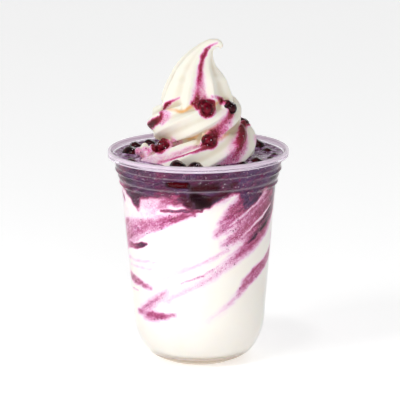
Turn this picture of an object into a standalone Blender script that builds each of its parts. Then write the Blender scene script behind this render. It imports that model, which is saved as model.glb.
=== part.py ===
"""Soft-serve sundae in a clear cup: fluted ice cream, blueberry sauce under the rim, and blueberries.

Units are metres, +Z is up and the origin is the middle of the cup's foot. Azimuths are in degrees from
the front (-Y), turning to the right-hand side (+X) as seen by someone who faces the front.
"""

import math

import bmesh
import bpy
from mathutils import Vector

MM = 0.001
GAP = 0.3 * MM  # clear space that every solid keeps to its neighbours
SIDES = 36  # facets round the cup and its filling

# Cup: a moulded tumbler with a curled rim, two stacking rings and a rounded bottom.
CUP_HEIGHT = 112 * MM
RIM_RADIUS = 47.5 * MM
RIM_DROP = 3.4 * MM  # height of the curl's skirt
CURL_RADIUS = 1.05 * MM
WALL = 0.7 * MM
NECK_RADIUS = 43.1 * MM  # at the upper stacking ring
COLLAR_RADIUS = 41.2 * MM  # between the two rings
UPPER_RING_HEIGHT = 102 * MM
LOWER_RING_HEIGHT = 95 * MM
RING_BULGE = 0.5 * MM
SHOULDER_RADIUS = 40.5 * MM  # under the lower ring
BOWL_HEIGHT = 28 * MM  # where the straight wall turns into the rounded bottom
BOWL_RADIUS = 34.7 * MM
BOWL_STEPS = 6
FOOT_RADIUS = 18.5 * MM
FOOT_WIDTH = 3.0 * MM  # of the flat ring that the cup stands on
FOOT_LIFT = 0.8 * MM
FLOOR_HEIGHT = 3.0 * MM

# Sauce: fills the top of the cup and runs down between ice cream and wall in tongues.
SAUCE_LEVEL = 108.2 * MM
SAUCE_BASE = 93.2 * MM  # just under the lower stacking ring
SAUCE_TONGUES = (  # azimuth, reach down the wall, half width in degrees
    (-54, 7.5 * MM, 8),
    (3, 6.5 * MM, 15),
    (46, 13.0 * MM, 14),
    (98, 5.0 * MM, 10),
    (140, 10.0 * MM, 15),
    (187, 6.0 * MM, 9),
    (228, 11.0 * MM, 14),
    (268, 4.5 * MM, 9),
)
LAYER_SHARES = (0.5, 0.8, 1.0)  # of the way from the axis to the wall, where the sauce's underside is shaped

# Ice cream: a rope from a six-point star nozzle, coiled upwards and pulled into a peak.
ROPE_FLUTES = 6
POINTS_PER_FLUTE = 4
FLUTE_DEPTH = 0.2  # share of the rope's radius
ROPE_TWIST = 425  # degrees that the flutes turn round the rope in each turn of the coil
ROPE_PHASE = -20
STEPS_PER_TURN = 24
COIL = (  # turn, outer radius, height of the rope's middle, rope radius; whole turns are at the front
    (-0.75, 34.0 * MM, 94.0 * MM, 11.5 * MM),
    (-0.50, 34.6 * MM, 96.2 * MM, 11.5 * MM),
    (-0.25, 35.4 * MM, 101.4 * MM, 11.5 * MM),
    (0.00, 33.0 * MM, 110.0 * MM, 11.5 * MM),
    (0.25, 31.2 * MM, 115.0 * MM, 11.3 * MM),
    (0.50, 29.0 * MM, 120.0 * MM, 11.0 * MM),
    (0.75, 27.0 * MM, 126.0 * MM, 10.6 * MM),
    (1.00, 25.5 * MM, 129.0 * MM, 10.6 * MM),
    (1.25, 23.6 * MM, 130.5 * MM, 10.4 * MM),
    (1.50, 21.0 * MM, 133.0 * MM, 9.5 * MM),
    (1.75, 17.0 * MM, 136.0 * MM, 7.6 * MM),
)
COIL_SPANS = ((-0.597, -0.137), (-0.137, 0.789), (0.789, 1.731))  # under one turn, so none crosses itself
PEAK_FLUTES = 8
PEAK = (  # sideways offset, height, radius and flute depth along the peak's middle line
    (-0.5 * MM, 131.0 * MM, 13.5 * MM, 0.05),
    (-0.5 * MM, 133.0 * MM, 17.5 * MM, 0.10),
    (-0.4 * MM, 136.0 * MM, 20.2 * MM, 0.15),
    (-0.3 * MM, 139.0 * MM, 19.8 * MM, 0.16),
    (-0.2 * MM, 142.5 * MM, 18.8 * MM, 0.16),
    (0.0 * MM, 148.5 * MM, 16.2 * MM, 0.16),
    (0.2 * MM, 153.0 * MM, 13.6 * MM, 0.16),
    (1.0 * MM, 157.5 * MM, 10.2 * MM, 0.15),
    (2.6 * MM, 161.8 * MM, 6.9 * MM, 0.13),
    (5.0 * MM, 165.5 * MM, 4.2 * MM, 0.10),
    (8.2 * MM, 167.7 * MM, 2.8 * MM, 0.06),
    (11.2 * MM, 167.4 * MM, 2.0 * MM, 0.03),
    (12.6 * MM, 165.3 * MM, 0.9 * MM, 0.0),
)
PEAK_PHASE = -22
PEAK_TWIST = 14  # degrees from the peak's foot to its tip
CORE = (  # radius and height of the coil's filled middle
    (19 * MM, 80 * MM),
    (19 * MM, 118 * MM),
    (14 * MM, 130 * MM),
    (10 * MM, 136 * MM),
)
CORE_SIDES = 24
SAUCE_CLEARANCE = 0.5 * MM  # between the sauce and the coil

# Blueberries: azimuth, distance from the axis, height of the middle, radius.
BERRIES_IN_SAUCE = (
    (-99, 35.6 * MM, 107.3 * MM, 5.4 * MM),
    (-124, 39.4 * MM, 107.4 * MM, 4.1 * MM),
    (-138, 38.0 * MM, 107.9 * MM, 3.6 * MM),
    (-82, 38.4 * MM, 106.4 * MM, 3.3 * MM),
    (-65, 38.4 * MM, 106.8 * MM, 3.9 * MM),
    (-35, 38.8 * MM, 106.9 * MM, 4.0 * MM),
    (-16, 38.4 * MM, 109.2 * MM, 4.7 * MM),
    (-2, 38.8 * MM, 109.0 * MM, 4.5 * MM),
    (17, 39.2 * MM, 107.3 * MM, 4.3 * MM),
    (38, 38.6 * MM, 107.4 * MM, 4.3 * MM),
    (58, 36.6 * MM, 107.0 * MM, 4.5 * MM),
    (73, 39.6 * MM, 106.7 * MM, 3.4 * MM),
    (87, 40.2 * MM, 107.0 * MM, 3.2 * MM),
    (103, 37.6 * MM, 106.9 * MM, 3.9 * MM),
    (121, 36.5 * MM, 108.9 * MM, 4.0 * MM),
)
BACK_BERRIES = 5
BACK_SPAN = (143, 204)
BACK_DISTANCE = 38.6 * MM
BACK_HEIGHT = 107.4 * MM
BACK_RADIUS = 3.9 * MM
BERRIES_ON_SWIRL = (
    (12, 18.6 * MM, 137.2 * MM, 4.8 * MM),
    (53, 20.4 * MM, 136.1 * MM, 4.0 * MM),
    (12.5, 25.4 * MM, 121.0 * MM, 4.1 * MM),
    (-44, 25.6 * MM, 117.2 * MM, 3.8 * MM),
    (108, 24.8 * MM, 123.5 * MM, 3.4 * MM),
    (165, 24.0 * MM, 126.0 * MM, 4.2 * MM),
    (200, 18.8 * MM, 137.5 * MM, 3.9 * MM),
    (222, 26.4 * MM, 116.0 * MM, 4.2 * MM),
)
BERRY_SIDES = 8
BERRY_RINGS = 5
BERRY_SQUASH = 0.9
CROWN_DENT = 0.16
BERRY_CLEARANCE = 0.45 * MM


def material(name, colour, roughness, metallic=0.0, alpha=1.0):
    made = bpy.data.materials.new(name)
    made.use_nodes = True
    shader = made.node_tree.nodes["Principled BSDF"]
    shader.inputs["Base Color"].default_value = (*colour, 1.0)
    shader.inputs["Roughness"].default_value = roughness
    shader.inputs["Metallic"].default_value = metallic
    shader.inputs["Alpha"].default_value = alpha
    return made


def smooth_row(rows, key):
    """The values at key on a smooth curve through rows, whose first value is the key."""
    last = len(rows) - 2
    i = next((n for n in range(last + 1) if key <= rows[n + 1][0]), last)
    before, low, high, after = rows[max(i - 1, 0)], rows[i], rows[i + 1], rows[min(i + 2, last + 1)]
    span = high[0] - low[0]
    t = (key - low[0]) / span
    row = []
    for column in range(1, len(low)):
        a, b = low[column], high[column]
        slope_a = (b - before[column]) / (high[0] - before[0]) * span
        slope_b = (after[column] - a) / (after[0] - low[0]) * span
        row.append(
            a * (2 * t**3 - 3 * t**2 + 1) + slope_a * (t**3 - 2 * t**2 + t)
            + b * (3 * t**2 - 2 * t**3) + slope_b * (t**3 - t**2)
        )
    return row


def at(azimuth, radius, height):
    """The point at an azimuth in degrees from the front, a distance from the axis, and a height."""
    angle = math.radians(azimuth)
    return Vector((radius * math.sin(angle), -radius * math.cos(angle), height))


def mesh_object(name, vertices, faces, look, group=None):
    mesh = bpy.data.meshes.new(name)
    mesh.from_pydata(vertices, [], faces)
    work = bmesh.new()
    work.from_mesh(mesh)
    bmesh.ops.recalc_face_normals(work, faces=work.faces)
    bmesh.ops.triangulate(work, faces=work.faces)
    work.to_mesh(mesh)
    work.free()
    mesh.materials.append(look)
    made = bpy.data.objects.new(name, mesh)
    (group or bpy.context.scene.collection).objects.link(made)
    return made


def skin(name, rings, look, group=None):
    """A closed body through rings of points. A ring of one point is a pole; other ends are capped flat."""
    vertices = [point for ring in rings for point in ring]
    starts = [sum(len(ring) for ring in rings[:n]) for n in range(len(rings))]
    faces = []
    for n, (ring, following) in enumerate(zip(rings, rings[1:])):
        count = max(len(ring), len(following))
        for k in range(count):
            corners = [
                starts[n] + k % len(ring),
                starts[n] + (k + 1) % len(ring),
                starts[n + 1] + (k + 1) % len(following),
                starts[n + 1] + k % len(following),
            ]
            faces.append(list(dict.fromkeys(corners)))
    for n in (0, len(rings) - 1):
        if len(rings[n]) > 1:
            faces.append([starts[n] + k for k in range(len(rings[n]))])
    return mesh_object(name, vertices, faces, look, group)


def turned_ring(radius, height, sides=SIDES, start=0):
    if radius == 0:
        return [Vector((0, 0, height))]
    return [at(start + 360 * k / sides, radius, height) for k in range(sides)]


def bowl_radius(height, floor, foot, brim):
    """The quarter ellipse of the cup's rounded bottom, from foot at the floor to brim at BOWL_HEIGHT."""
    rise = min(max((BOWL_HEIGHT - height) / (BOWL_HEIGHT - floor), 0), 1)
    return foot + (brim - foot) * math.sqrt(1 - rise**2)


def ring_profile(height, below, above):
    """A stacking ring's small bulge, on a wall of one radius below it and another above it."""
    return [
        (below, height - 1.3 * MM),
        (above + RING_BULGE, height - 0.3 * MM),
        (above + RING_BULGE, height + 0.2 * MM),
        (above, height + 1.1 * MM),
    ]


def bowl_profile(floor, foot, brim):
    steps = [math.cos(math.pi / 2 * n / BOWL_STEPS) for n in range(BOWL_STEPS + 1)]
    heights = [BOWL_HEIGHT - (BOWL_HEIGHT - floor) * step for step in steps]
    return [(bowl_radius(height, floor, foot, brim), height) for height in heights]


def wall_profile(inset):
    """The wall above the rounded bottom, moved in from the outside by inset."""
    outline = [
        *ring_profile(LOWER_RING_HEIGHT, SHOULDER_RADIUS, COLLAR_RADIUS),
        (NECK_RADIUS - 0.7 * MM, LOWER_RING_HEIGHT + 3.6 * MM),
        *ring_profile(UPPER_RING_HEIGHT, NECK_RADIUS - 0.3 * MM, NECK_RADIUS),
        (RIM_RADIUS - 2.6 * MM, CUP_HEIGHT - RIM_DROP),
    ]
    return [(radius - inset, height) for radius, height in outline]


def inner_profile(extra=0.0):
    """The cup's inside from the middle of its floor to under the rim, moved in by extra."""
    floor = FLOOR_HEIGHT + extra
    bowl = bowl_profile(floor, FOOT_RADIUS - 1.5 * MM, BOWL_RADIUS - WALL - extra)
    return [*bowl, *wall_profile(WALL + extra)]


def inner_radius(height, extra=0.0):
    """The radius of inner_profile at a height, straight between its points."""
    profile = inner_profile(extra)
    for (low_radius, low), (high_radius, high) in zip(profile, profile[1:]):
        if height <= high:
            return low_radius + (height - low) / (high - low) * (high_radius - low_radius)
    return profile[-1][0]


def curl_arc(radius):
    """The curl's half circle over the rim, from the inside to the outside."""
    middle, height = RIM_RADIUS - CURL_RADIUS, CUP_HEIGHT - CURL_RADIUS
    arc = [math.radians(angle) for angle in (180, 135, 90, 45, 0)]
    return [(middle + radius * math.cos(angle), height + radius * math.sin(angle)) for angle in arc]


def make_cup():
    skirt_foot = CUP_HEIGHT - RIM_DROP
    outside = [
        (0, 2 * FOOT_LIFT),
        (FOOT_RADIUS - 1.5 * FOOT_WIDTH, 2 * FOOT_LIFT),
        (FOOT_RADIUS - FOOT_WIDTH, 0),
        (FOOT_RADIUS, 0),
        *bowl_profile(FOOT_LIFT, FOOT_RADIUS, BOWL_RADIUS),
        *wall_profile(0.0),
        *curl_arc(CURL_RADIUS - WALL),
        (RIM_RADIUS - WALL, skirt_foot),
        (RIM_RADIUS, skirt_foot),
    ]
    inside = [*reversed(curl_arc(CURL_RADIUS)), *reversed(inner_profile()), (0, FLOOR_HEIGHT)]
    rings = [turned_ring(radius, height) for radius, height in (*outside, *inside)]
    return skin("cup", rings, material("clear_plastic", (0.92, 0.94, 0.97), 0.05, alpha=0.35))


def sauce_edge(azimuth):
    """How high the sauce's lower edge is on the wall: a ragged line with tongues."""
    dip = 0.0
    for middle, reach, half_width in SAUCE_TONGUES:
        away = (azimuth - middle + 180) % 360 - 180
        dip = max(dip, reach * math.exp(-((away / half_width) ** 2)))
    return SAUCE_BASE - dip


def layer_height(azimuth, share):
    """The height where ice cream meets sauce, at a share of the way from the axis to the wall."""
    return SAUCE_BASE + (sauce_edge(azimuth) - SAUCE_BASE) * share**2


def layer_ring(share, lift, extra):
    """Points of the face between ice cream and sauce, lifted by lift and moved in from the wall by extra."""
    ring = []
    for k in range(SIDES):
        azimuth = 360 * k / SIDES
        height = layer_height(azimuth, share) + lift
        ring.append(at(azimuth, share * inner_radius(height, extra), height))
    return ring


def flute(angle, flutes):
    """0 on a crest and 1 in the middle of a valley; the crests are sharp and the valleys wide."""
    return abs(math.sin(flutes * angle / 2))


def coil_ring(turn, grow):
    outer, height, rope = smooth_row(COIL, turn)
    middle = outer - rope
    ring = []
    count = ROPE_FLUTES * POINTS_PER_FLUTE
    for k in range(count):
        around = math.tau * k / count
        size = rope * (1 - FLUTE_DEPTH * flute(around, ROPE_FLUTES)) + grow
        tilt = around + math.radians(ROPE_PHASE + ROPE_TWIST * turn)
        radius = max(middle + size * math.cos(tilt), 1 * MM)
        ring.append(at(360 * turn, radius, height + size * math.sin(tilt)))
    return ring


def coil_middle(turn):
    outer, height, rope = smooth_row(COIL, turn)
    return [at(360 * turn, outer - rope, height)]


def make_coil(look, group, grow=0.0):
    """The rope's turns, as closed bodies whose pointed ends reach into each other."""
    for start, end in COIL_SPANS:
        steps = round((end - start) * STEPS_PER_TURN)
        rings = [coil_ring(start + (end - start) * n / steps, grow) for n in range(steps + 1)]
        ends = coil_middle(start - 1 / STEPS_PER_TURN), coil_middle(end + 1 / STEPS_PER_TURN)
        skin("coil", [ends[0], *rings, ends[1]], look, group)


def peak_ring(index, count_of_rings):
    position = index / (count_of_rings - 1)
    rows = [(n / (len(PEAK) - 1), *row) for n, row in enumerate(PEAK)]
    offset, height, radius, depth = smooth_row(rows, position)
    ahead, behind = (smooth_row(rows, min(max(position + step, 0), 1)) for step in (0.004, -0.004))
    along = Vector((ahead[0] - behind[0], 0, ahead[1] - behind[1])).normalized()
    across = Vector((along.z, 0, -along.x))
    ring = []
    count = PEAK_FLUTES * POINTS_PER_FLUTE
    for k in range(count):
        around = math.tau * k / count
        angle = around + math.radians(PEAK_PHASE + PEAK_TWIST * position)
        size = radius * (1 - depth * flute(around, PEAK_FLUTES))
        direction = across * math.sin(angle) + Vector((0, -1, 0)) * math.cos(angle)
        ring.append(Vector((offset, 0, height)) + direction * size)
    return ring


def make_peak(look, group):
    count_of_rings = 2 * len(PEAK) - 1
    skin("peak", [peak_ring(n, count_of_rings) for n in range(count_of_rings)], look, group)


def make_core(look, group, grow=0.0):
    """The middle of the coil, all ice cream."""
    rings = [turned_ring(radius + grow, height, CORE_SIDES, start=4) for radius, height in CORE]
    skin("core", rings, look, group)


def make_body(look, group):
    """The ice cream in the cup, up to the sauce."""
    lowest_edge = min(sauce_edge(360 * k / SIDES) for k in range(SIDES)) - 2 * MM
    side = [point for point in inner_profile(GAP) if point[1] < lowest_edge]
    rings = [turned_ring(0, FLOOR_HEIGHT + GAP)]
    rings += [turned_ring(radius, height) for radius, height in side]
    rings += [layer_ring(share, 0.0, GAP) for share in reversed(LAYER_SHARES)]
    skin("body", rings, look, group)


def berry_ring(radius, share, seed):
    """A ring of a berry about its own middle: round, a little uneven, and dented at the crown."""
    polar = math.pi * share
    crown = 1 - CROWN_DENT * math.exp(-((polar / 0.45) ** 2))
    if share in (0, 1):
        return [Vector((0, 0, BERRY_SQUASH * radius * crown * math.cos(polar)))]
    ring = []
    for k in range(BERRY_SIDES):
        angle = math.tau * k / BERRY_SIDES
        uneven = 1 + 0.04 * math.sin(2 * angle + seed) + 0.03 * math.sin(3 * angle + 2.1 * seed)
        size = radius * crown * uneven
        ring.append(
            Vector((
                size * math.sin(polar) * math.cos(angle),
                size * math.sin(polar) * math.sin(angle),
                BERRY_SQUASH * size * math.cos(polar),
            ))
        )
    return ring


def make_berry(name, place, look, group=None, grow=0.0):
    azimuth, distance, height, radius = place
    seed = azimuth * 0.37 + height / MM
    rings = [berry_ring(radius + grow, n / BERRY_RINGS, seed) for n in range(BERRY_RINGS + 1)]
    made = skin(name, rings, look, group)
    made.location = at(azimuth, distance, height)
    made.rotation_euler = (0.5 * math.sin(seed), 0.5 * math.cos(seed), seed)
    return made


def all_berries():
    """The berries' places, with an uneven row of them behind the swirl."""
    back = []
    first, last = BACK_SPAN
    for n in range(BACK_BERRIES):
        azimuth = first + (last - first) * n / (BACK_BERRIES - 1)
        distance = BACK_DISTANCE + 0.5 * MM * math.cos(1.9 * n)
        height = BACK_HEIGHT + 0.9 * MM * math.sin(2.4 * n)
        radius = BACK_RADIUS + 0.5 * MM * math.sin(3.3 * n + 1)
        back.append((azimuth, distance, height, radius))
    return [*BERRIES_IN_SAUCE, *back, *BERRIES_ON_SWIRL]


def combine(target, group, operation):
    """Joins or cuts target with a collection's bodies, and removes them."""
    modifier = target.modifiers.new(operation.lower(), "BOOLEAN")
    modifier.operand_type = "COLLECTION"
    modifier.collection = group
    modifier.operation = operation
    modifier.solver = "MANIFOLD"
    bpy.context.view_layer.update()
    graph = bpy.context.evaluated_depsgraph_get()
    mesh = bpy.data.meshes.new_from_object(target.evaluated_get(graph))
    target.modifiers.clear()
    target.data = mesh
    for tool in list(group.objects):
        bpy.data.objects.remove(tool)
    bpy.data.collections.remove(group)


def keep_largest(target):
    """Drops loose scraps that a cut leaves."""
    work = bmesh.new()
    work.from_mesh(target.data)
    unseen, parts = set(work.verts), []
    while unseen:
        front, part = [unseen.pop()], []
        while front:
            vertex = front.pop()
            part.append(vertex)
            near = {edge.other_vert(vertex) for edge in vertex.link_edges} & unseen
            unseen -= near
            front += near
        parts.append(part)
    parts.sort(key=len)
    for part in parts[:-1]:
        bmesh.ops.delete(work, geom=part, context="VERTS")
    work.to_mesh(target.data)
    work.free()


def new_group(name):
    group = bpy.data.collections.new(name)
    bpy.context.scene.collection.children.link(group)
    return group


def berry_tools(look):
    tools = new_group("berry_tools")
    for n, place in enumerate(all_berries()):
        make_berry(f"tool_{n}", place, look, tools, BERRY_CLEARANCE)
    return tools


def make_ice_cream():
    look = material("soft_serve", (0.93, 0.9, 0.84), 0.45)
    pieces = new_group("ice_cream_pieces")
    make_body(look, pieces)
    make_core(look, pieces)
    make_coil(look, pieces)
    make_peak(look, pieces)
    first = pieces.objects[0]
    pieces.objects.unlink(first)
    bpy.context.scene.collection.objects.link(first)
    first.name = "ice_cream"
    combine(first, pieces, "UNION")
    combine(first, berry_tools(look), "DIFFERENCE")
    keep_largest(first)
    return first


def make_sauce():
    look = material("blueberry_sauce", (0.16, 0.02, 0.09), 0.2)
    side = [point for point in inner_profile(GAP) if SAUCE_BASE < point[1] < SAUCE_LEVEL]
    rings = [layer_ring(share, GAP, GAP) for share in LAYER_SHARES]
    rings += [turned_ring(radius, height) for radius, height in side]
    rings += [turned_ring(inner_radius(SAUCE_LEVEL, GAP), SAUCE_LEVEL)]
    rings += [turned_ring(CORE[0][0] / 2, SAUCE_LEVEL)]
    sauce = skin("blueberry_sauce", rings, look)
    tools = new_group("sauce_tools")
    make_core(look, tools, SAUCE_CLEARANCE)
    make_coil(look, tools, SAUCE_CLEARANCE)
    combine(sauce, tools, "DIFFERENCE")
    combine(sauce, berry_tools(look), "DIFFERENCE")
    keep_largest(sauce)
    return sauce


def main():
    for old in list(bpy.data.objects):
        bpy.data.objects.remove(old)
    make_cup()
    make_ice_cream()
    make_sauce()
    skin_look = material("blueberry_skin", (0.07, 0.01, 0.05), 0.25)
    for n, place in enumerate(all_berries(), start=1):
        make_berry(f"blueberry_{n:02d}", place, skin_look)


main()
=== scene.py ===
"""Finish of a soft-serve sundae: clear cup, marbled ice cream, blueberry sauce, a piped swirl and berries.

Lengths are in metres unless a comment says mm, +Z is up and the origin is the middle of the cup's foot.
Azimuths are in degrees from the front (-Y), turning to the right-hand side (+X) of someone who faces it.
"""

import math
import random

import bmesh
import bpy
import numpy as np
from mathutils import Matrix, Vector, noise
from mathutils.bvhtree import BVHTree


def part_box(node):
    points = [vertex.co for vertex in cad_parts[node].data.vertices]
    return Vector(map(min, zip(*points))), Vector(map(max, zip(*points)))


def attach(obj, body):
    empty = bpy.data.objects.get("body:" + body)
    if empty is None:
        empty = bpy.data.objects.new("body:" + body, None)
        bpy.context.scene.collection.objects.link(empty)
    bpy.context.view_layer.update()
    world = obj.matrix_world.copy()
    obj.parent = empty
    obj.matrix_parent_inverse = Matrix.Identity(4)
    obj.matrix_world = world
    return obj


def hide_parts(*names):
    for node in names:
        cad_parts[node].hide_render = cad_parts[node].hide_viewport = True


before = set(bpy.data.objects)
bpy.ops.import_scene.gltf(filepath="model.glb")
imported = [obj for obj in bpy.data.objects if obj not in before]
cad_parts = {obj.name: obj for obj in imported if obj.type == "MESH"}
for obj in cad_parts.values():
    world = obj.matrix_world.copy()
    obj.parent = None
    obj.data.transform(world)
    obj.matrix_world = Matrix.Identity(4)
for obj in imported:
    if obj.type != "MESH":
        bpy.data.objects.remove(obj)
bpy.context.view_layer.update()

# ------------------------------------------------------------------------------
# The cup: a tumbler drawn from one sheet of clear plastic. Two stacking rings stand out under its
# neck, the bottom is rounded down to a narrow foot, and the lip is rolled outwards into a curl.
# ------------------------------------------------------------------------------
MM = 0.001
CUP_SIDES = 144
WALL = 0.7 * MM
CURL_RADIUS = 1.05 * MM
RIM_DROP = 3.4 * MM
RIM_INSET = 2.6 * MM  # from the lip's edge to the wall under it
SKIRT_WAIST = 0.4 * MM
BEAD_INSET = 0.1 * MM
RIM_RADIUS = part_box("cup")[1].x
CUP_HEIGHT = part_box("cup")[1].z
NECK_RADIUS = 43.1 * MM
NECK_TAPER = 0.3 * MM
COLLAR_RADIUS = 41.2 * MM
SHOULDER_RADIUS = 40.5 * MM
UPPER_RING_HEIGHT = 102 * MM
LOWER_RING_HEIGHT = 95 * MM
RING_BULGE = 0.5 * MM
RING_CORNERS = (-1.3 * MM, -0.3 * MM, 0.2 * MM, 1.1 * MM)  # heights, against the ring's own
BOWL_HEIGHT = 28 * MM
BOWL_RADIUS = 34.7 * MM
BOWL_STEPS = 18
FOOT_RADIUS = 18.5 * MM
FOOT_WIDTH = 3.0 * MM
FOOT_LIFT = 0.8 * MM
FLOOR_HEIGHT = 3.0 * MM
FLOOR_INSET = 1.5 * MM
MOULD_ROUND = 0.5 * MM  # how softly the sheet takes the mould's edges
# Painted highlight and grey lines on the rolled lip, laid as milky bands by height.
LIP_HIGHLIGHT_BANDS = (  # place from 0 at the skirt's edge to 1 at the top, and how milky the plastic is there
    (0.09, 0), (0.12, 0.66), (0.2, 0.66), (0.24, 0.02), (0.44, 0.02),
    (0.5, 0.5), (0.72, 0.5), (0.8, 0.3), (0.9, 0.6), (1, 0.6),
)
FOOT_ZONE = 4.4 * MM  # the thick moulding that the wall stands on
# Painted shade in the foot: how milky the plastic is made there, tinted beige.
FOOT_SHADE_MILK = 0.42
HIGHLIGHT_LINES = (  # heights of painted highlight lines on the wall and foot, their reach and how milky they are
    (104.2 * MM, 0.5 * MM, 0.2),
    (97.5 * MM, 0.7 * MM, 0.2),
    (FOOT_ZONE, 0.5 * MM, 0.3),
)


def at(azimuth, radius, height):
    """The point at an azimuth in degrees from the front, a distance from the axis, and a height."""
    angle = math.radians(azimuth)
    return Vector((radius * math.sin(angle), -radius * math.cos(angle), height))


def bowl_curve(floor, foot, brim):
    """The rounded bottom: a quarter ellipse from the foot at the floor to the brim."""
    turns = [math.pi / 2 * n / BOWL_STEPS for n in range(BOWL_STEPS + 1)]
    rise = BOWL_HEIGHT - floor
    return [(foot + (brim - foot) * math.sin(turn), BOWL_HEIGHT - rise * math.cos(turn)) for turn in turns]


def stacking_ring(height, below, above):
    """The corners of a ring, between the wall's radius below it and above it."""
    radii = (below, above + RING_BULGE, above + RING_BULGE, above)
    return [(radius, height + corner) for radius, corner in zip(radii, RING_CORNERS)]


def wall_line(inset):
    """The wall over the bowl, moved in from its outer face."""
    line = [
        *stacking_ring(LOWER_RING_HEIGHT, SHOULDER_RADIUS, COLLAR_RADIUS),
        (NECK_RADIUS - 0.7 * MM, LOWER_RING_HEIGHT + 3.6 * MM),
        *stacking_ring(UPPER_RING_HEIGHT, NECK_RADIUS - NECK_TAPER, NECK_RADIUS),
        (RIM_RADIUS - RIM_INSET, CUP_HEIGHT - RIM_DROP),
    ]
    return [(radius - inset, height) for radius, height in line]


def inner_line(extra=0.0):
    """The cup's inside from its floor to under the rim, moved in from the wall by extra."""
    bowl = bowl_curve(FLOOR_HEIGHT + extra, FOOT_RADIUS - FLOOR_INSET, BOWL_RADIUS - WALL - extra)
    return [*bowl, *wall_line(WALL + extra)]


def softened(line, size=MOULD_ROUND, steps=3):
    """The same line with each corner rounded off."""
    points = [Vector(point) for point in line]
    soft = [points[0]]
    for before, corner, after in zip(points, points[1:], points[2:]):
        cut = min(size, (corner - before).length / 2, (after - corner).length / 2)
        start = corner + (before - corner).normalized() * cut
        end = corner + (after - corner).normalized() * cut
        for n in range(steps + 1):
            t = n / steps
            soft.append(start * (1 - t) ** 2 + corner * 2 * t * (1 - t) + end * t**2)
    return [*soft, points[-1]]


def curl(radius, steps=12):
    """The curl's half circle over the rim, from the inside to the outside."""
    middle, height = RIM_RADIUS - CURL_RADIUS, CUP_HEIGHT - CURL_RADIUS
    arc = [math.pi * (1 - n / steps) for n in range(steps + 1)]
    return [(middle + radius * math.cos(angle), height + radius * math.sin(angle)) for angle in arc]


def placed(name, data):
    """A new object of the scene, at the origin."""
    made = bpy.data.objects.new(name, data)
    bpy.context.scene.collection.objects.link(made)
    return made


def skin(name, rings):
    """A closed, smooth body through rings of points, facing out. A ring of one point is a pole."""
    vertices = [point for ring in rings for point in ring]
    starts = np.cumsum([0, *(len(ring) for ring in rings)])
    faces = []
    for n, (ring, following) in enumerate(zip(rings, rings[1:])):
        for k in range(max(len(ring), len(following))):
            corners = [
                starts[n] + k % len(ring),
                starts[n] + (k + 1) % len(ring),
                starts[n + 1] + (k + 1) % len(following),
                starts[n + 1] + k % len(following),
            ]
            faces.append(list(dict.fromkeys(int(corner) for corner in corners)))
    mesh = bpy.data.meshes.new(name)
    mesh.from_pydata(vertices, [], faces)
    work = bmesh.new()
    work.from_mesh(mesh)
    bmesh.ops.recalc_face_normals(work, faces=work.faces)
    work.to_mesh(mesh)
    work.free()
    mesh.shade_smooth()
    return placed(name, mesh)


def ring_of(radius, height, sides):
    """A level ring of points round the axis, or the one point on the axis."""
    return [at(360 * k / sides, radius, height) for k in range(sides if radius else 1)]


def turned(name, line, sides):
    """A body turned from a line of radius and height."""
    return skin(name, [ring_of(radius, height, sides) for radius, height in line])


def add(tree, kind, links=None, **settings):
    """A node in a tree. Links give its inputs, by name or place, a value or another node's socket."""
    made = tree.nodes.new(kind)
    for name, value in settings.items():
        setattr(made, name, value)
    for key, value in (links or {}).items():
        socket = made.inputs[key]
        if isinstance(value, bpy.types.Node):
            value = value.outputs[0]
        if isinstance(value, bpy.types.NodeSocket):
            tree.links.new(value, socket)
        else:
            socket.default_value = value
    return made


def new_look(name, **values):
    """A material with one Principled shader, its tree and that shader."""
    made = bpy.data.materials.new(name)
    made.use_nodes = True
    shader = made.node_tree.nodes["Principled BSDF"]
    for key, value in values.items():
        shader.inputs[key.replace("_", " ")].default_value = value
    return made, made.node_tree, shader


def on_piece(tree):
    """Places on the piece, in the shared frame."""
    return add(tree, "ShaderNodeTexCoord").outputs["Object"]


def colour(red, green, blue):
    """A colour given as it looks on a screen, 0 to 255, in linear light."""
    shares = [value / 255 for value in (red, green, blue)]
    return (*(s / 12.92 if s <= 0.04045 else ((s + 0.055) / 1.055) ** 2.4 for s in shares), 1.0)


def ramp(tree, amount, stops):
    """A colour ramp through stops of a place and a colour."""
    made = add(tree, "ShaderNodeValToRGB", {"Fac": amount})
    elements = made.color_ramp.elements
    elements.remove(elements[1])
    elements[0].position, elements[0].color = stops[0]
    for place, tint in stops[1:]:
        elements.new(place).color = tint
    return made


def calculated(tree, operation, *values):
    """One step of arithmetic."""
    return add(tree, "ShaderNodeMath", dict(enumerate(values)), operation=operation)


def times(tree, product, *others):
    """The product of all the values."""
    for other in others:
        product = calculated(tree, "MULTIPLY", product, other)
    return product


def minus(tree, first, second):
    """The first value less the second."""
    return calculated(tree, "SUBTRACT", first, second)


def near(tree, value, middle, reach):
    """1 where a value is at the middle, down to 0 at a reach from it."""
    away = calculated(tree, "ABSOLUTE", minus(tree, value, middle))
    left = minus(tree, 1.0, calculated(tree, "DIVIDE", away, reach))
    return calculated(tree, "MAXIMUM", left, 0.0)


def scaled(tree, value, start, end, low=0.0, high=1.0):
    """A value between start and end turned into one between low and high, and held at those."""
    sizes = {"Value": value, "From Min": start, "From Max": end, "To Min": low, "To Max": high}
    return add(tree, "ShaderNodeMapRange", sizes)


def mixed(tree, share, first, second, blend="MIX"):
    """One colour mixed into another by a share."""
    made = add(tree, "ShaderNodeMix", {0: share, 6: first, 7: second}, data_type="RGBA", blend_type=blend)
    return made.outputs[2]


def cloud(tree, place, scale, detail=2.0, roughness=0.5):
    """A soft, uneven value about one half."""
    sizes = {"Vector": place, "Scale": scale, "Detail": detail, "Roughness": roughness}
    return add(tree, "ShaderNodeTexNoise", sizes)


def relief(tree, shader, height, strength, distance):
    """Small relief that is in the material only."""
    bump = add(tree, "ShaderNodeBump", {"Height": height, "Strength": strength, "Distance": distance})
    tree.links.new(bump.outputs[0], shader.inputs["Normal"])


# Tint of the painted highlights on the lip and the stacking rings.
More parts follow.
